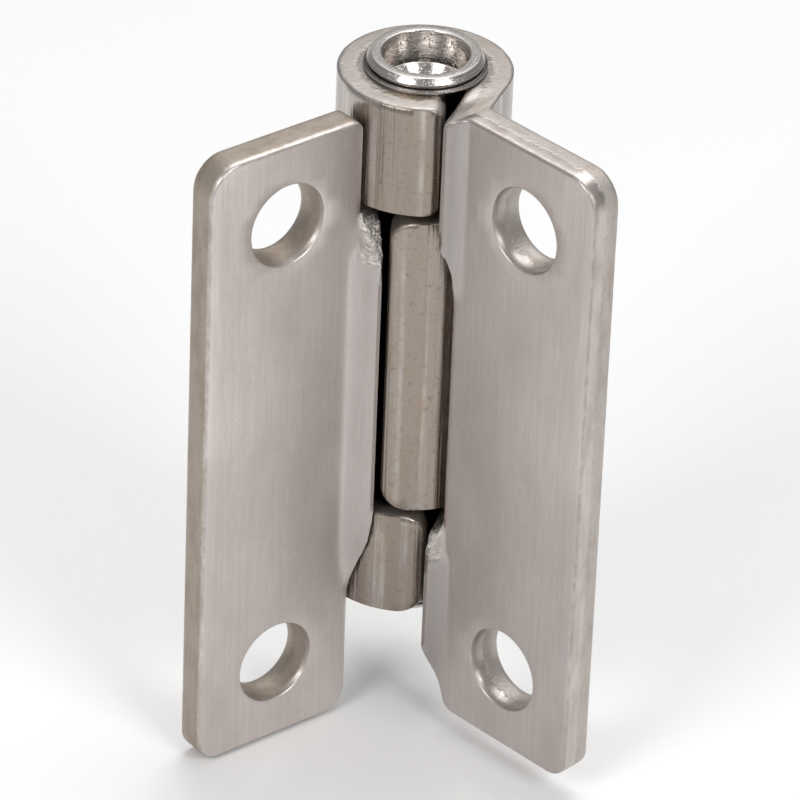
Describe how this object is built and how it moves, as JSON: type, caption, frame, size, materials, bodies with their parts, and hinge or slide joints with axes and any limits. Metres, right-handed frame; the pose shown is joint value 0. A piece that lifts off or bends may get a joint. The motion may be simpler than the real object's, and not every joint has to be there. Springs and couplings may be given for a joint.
{
  "type": "butt hinge",
  "caption": "Heavy stainless butt hinge: two short plate leaves with rolled knuckles on a tubular pin, each with round fixing holes.",
  "frame": {"origin": "on the pin's axis, at the outer leaf's mid height", "axes": "+Z along the pin towards its upper head, +X from the pin across the outer leaf to its free edge, +Y out of the outer leaf's back"},
  "size_m": [0.0318, 0.0313, 0.0634],
  "materials": {
    "leaf_steel": "satin, brushed lengthwise",
    "pin_steel": "turned and polished"
  },
  "bodies": {
    "outer_side": {"outer_leaf": "leaf_steel", "hinge_pin": "pin_steel"},
    "inner_side": {"inner_leaf": "leaf_steel"}
  },
  "joints": [
    {"name": "leaf_swing", "type": "hinge", "parent": "outer_side", "child": "inner_side", "pos_m": [0, 0, 0], "axis": [0, 0, 1], "range_deg": [-240, 35]}
  ]
}
